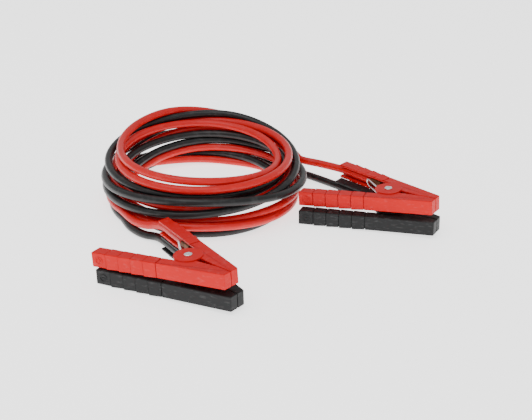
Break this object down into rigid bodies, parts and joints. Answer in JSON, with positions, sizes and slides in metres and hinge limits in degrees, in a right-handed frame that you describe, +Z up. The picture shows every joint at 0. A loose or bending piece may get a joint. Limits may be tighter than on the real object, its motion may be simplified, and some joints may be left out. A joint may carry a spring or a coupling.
{
  "type": "car jumper cable set",
  "caption": "Insulated booster cable set: a red and a black cable in one loose coil, with spring clamps lying in stacked pairs.",
  "frame": {"origin": "centre of the four clamps on the floor they lie on", "axes": "+Z up; +X towards the far pair of clamps, +Y towards the coil"},
  "size_m": [0.4278, 0.4279, 0.0821],
  "materials": {
    "red_plastic": "fine moulded grain",
    "black_plastic": "fine moulded grain",
    "red_cable": "smooth satin sheath",
    "black_cable": "smooth satin sheath",
    "zinc_steel": "zinc plated",
    "copper_plate": "copper plated"
  },
  "bodies": {
    "cable_set": {"near_red_cable_arm": "red_plastic", "near_red_rivet": "zinc_steel", "near_red_spring": "zinc_steel", "near_red_cable_contact": "copper_plate", "near_black_cable_arm": "black_plastic", "near_black_rivet": "zinc_steel", "near_black_spring": "zinc_steel", "near_black_cable_contact": "copper_plate", "far_red_cable_arm": "red_plastic", "far_red_rivet": "zinc_steel", "far_red_spring": "zinc_steel", "far_red_cable_contact": "copper_plate", "far_black_cable_arm": "black_plastic", "far_black_rivet": "zinc_steel", "far_black_spring": "zinc_steel", "far_black_cable_contact": "copper_plate", "cable_coil": "red_cable", "near_red_lead": "red_cable", "near_black_lead": "black_cable", "far_red_lead": "red_cable", "far_black_lead": "black_cable"},
    "near_red_jaw": {"near_red_free_arm": "red_plastic", "near_red_free_contact": "copper_plate"},
    "near_black_jaw": {"near_black_free_arm": "black_plastic", "near_black_free_contact": "copper_plate"},
    "far_red_jaw": {"far_red_free_arm": "red_plastic", "far_red_free_contact": "copper_plate"},
    "far_black_jaw": {"far_black_free_arm": "black_plastic", "far_black_free_contact": "copper_plate"}
  },
  "joints": [
    {"name": "near_red_open", "type": "hinge", "parent": "cable_set", "child": "near_red_jaw", "pos_m": [-0.0926, -0.10859, 0.035], "axis": [0.0561, -0.0498, -0.9972], "range_deg": [0, 30], "stiffness_Nm_per_rad": 1.6, "springref_deg": -34.38, "deforming": ["near_red_spring"]},
    {"name": "near_black_open", "type": "hinge", "parent": "cable_set", "child": "near_black_jaw", "pos_m": [-0.0878, -0.1106, 0.01163], "axis": [0.0212, -0.0182, -0.9996], "range_deg": [0, 30], "stiffness_Nm_per_rad": 1.6, "springref_deg": -34.38, "deforming": ["near_black_spring"]},
    {"name": "far_red_open", "type": "hinge", "parent": "cable_set", "child": "far_red_jaw", "pos_m": [0.14079, 0.05883, 0.03504], "axis": [0.0625, -0.0415, -0.9972], "range_deg": [0, 30], "stiffness_Nm_per_rad": 1.6, "springref_deg": -34.38, "deforming": ["far_red_spring"]},
    {"name": "far_black_open", "type": "hinge", "parent": "cable_set", "child": "far_black_jaw", "pos_m": [0.1409, 0.0527, 0.01163], "axis": [0.024, -0.0144, -0.9996], "range_deg": [0, 30], "stiffness_Nm_per_rad": 1.6, "springref_deg": -34.38, "deforming": ["far_black_spring"]}
  ]
}
